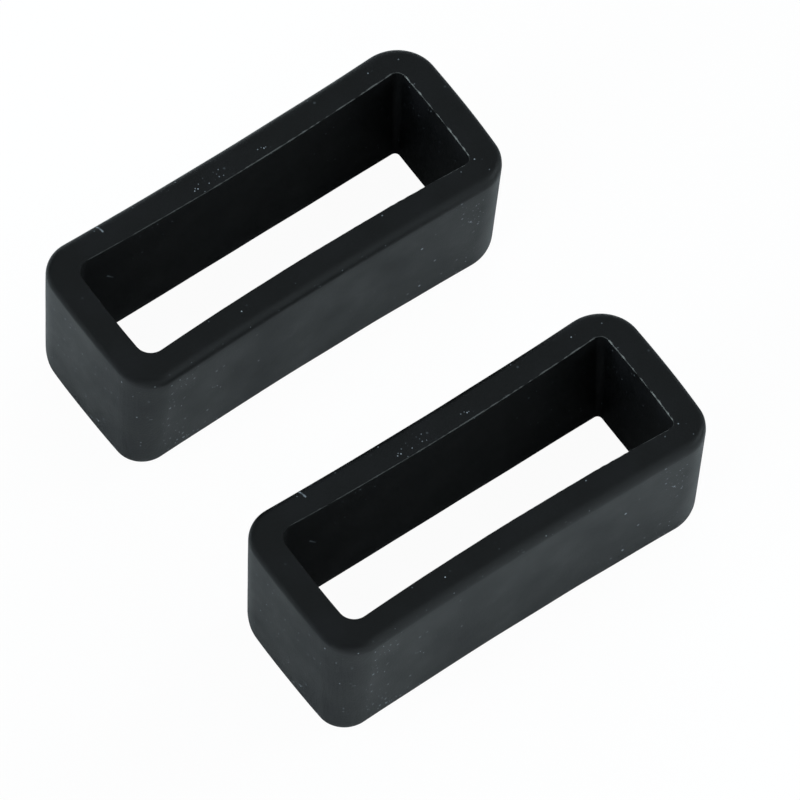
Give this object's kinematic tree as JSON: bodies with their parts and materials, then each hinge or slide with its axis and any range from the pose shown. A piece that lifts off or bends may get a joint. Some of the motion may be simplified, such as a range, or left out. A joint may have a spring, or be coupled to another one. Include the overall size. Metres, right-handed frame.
{
  "type": "watch strap keeper",
  "caption": "Matching moulded rubber watch strap keepers, slim closed loops with pinched long walls and a rectangular slot that holds a strap's free end.",
  "frame": {"origin": "under the middle of the pair, on the surface that both keepers stand on", "axes": "+X along the keepers' long walls, across the strap; +Y through the strap's thickness, from the front keeper to the rear one; +Z along the strap, up as the keepers stand on a rim"},
  "size_m": [0.0262, 0.0304, 0.0092],
  "materials": {
    "black_rubber": "matte moulded silicone, fine even grain, soft rounded rims"
  },
  "bodies": {
    "rear_keeper": {"rear_keeper": "black_rubber"},
    "front_keeper": {"front_keeper": "black_rubber"}
  },
  "joints": [
    {"name": "front_keeper_lift", "type": "slide", "parent": "rear_keeper", "child": "front_keeper", "axis": [0, 0, 1], "range_m": [0, 0.02]}
  ]
}
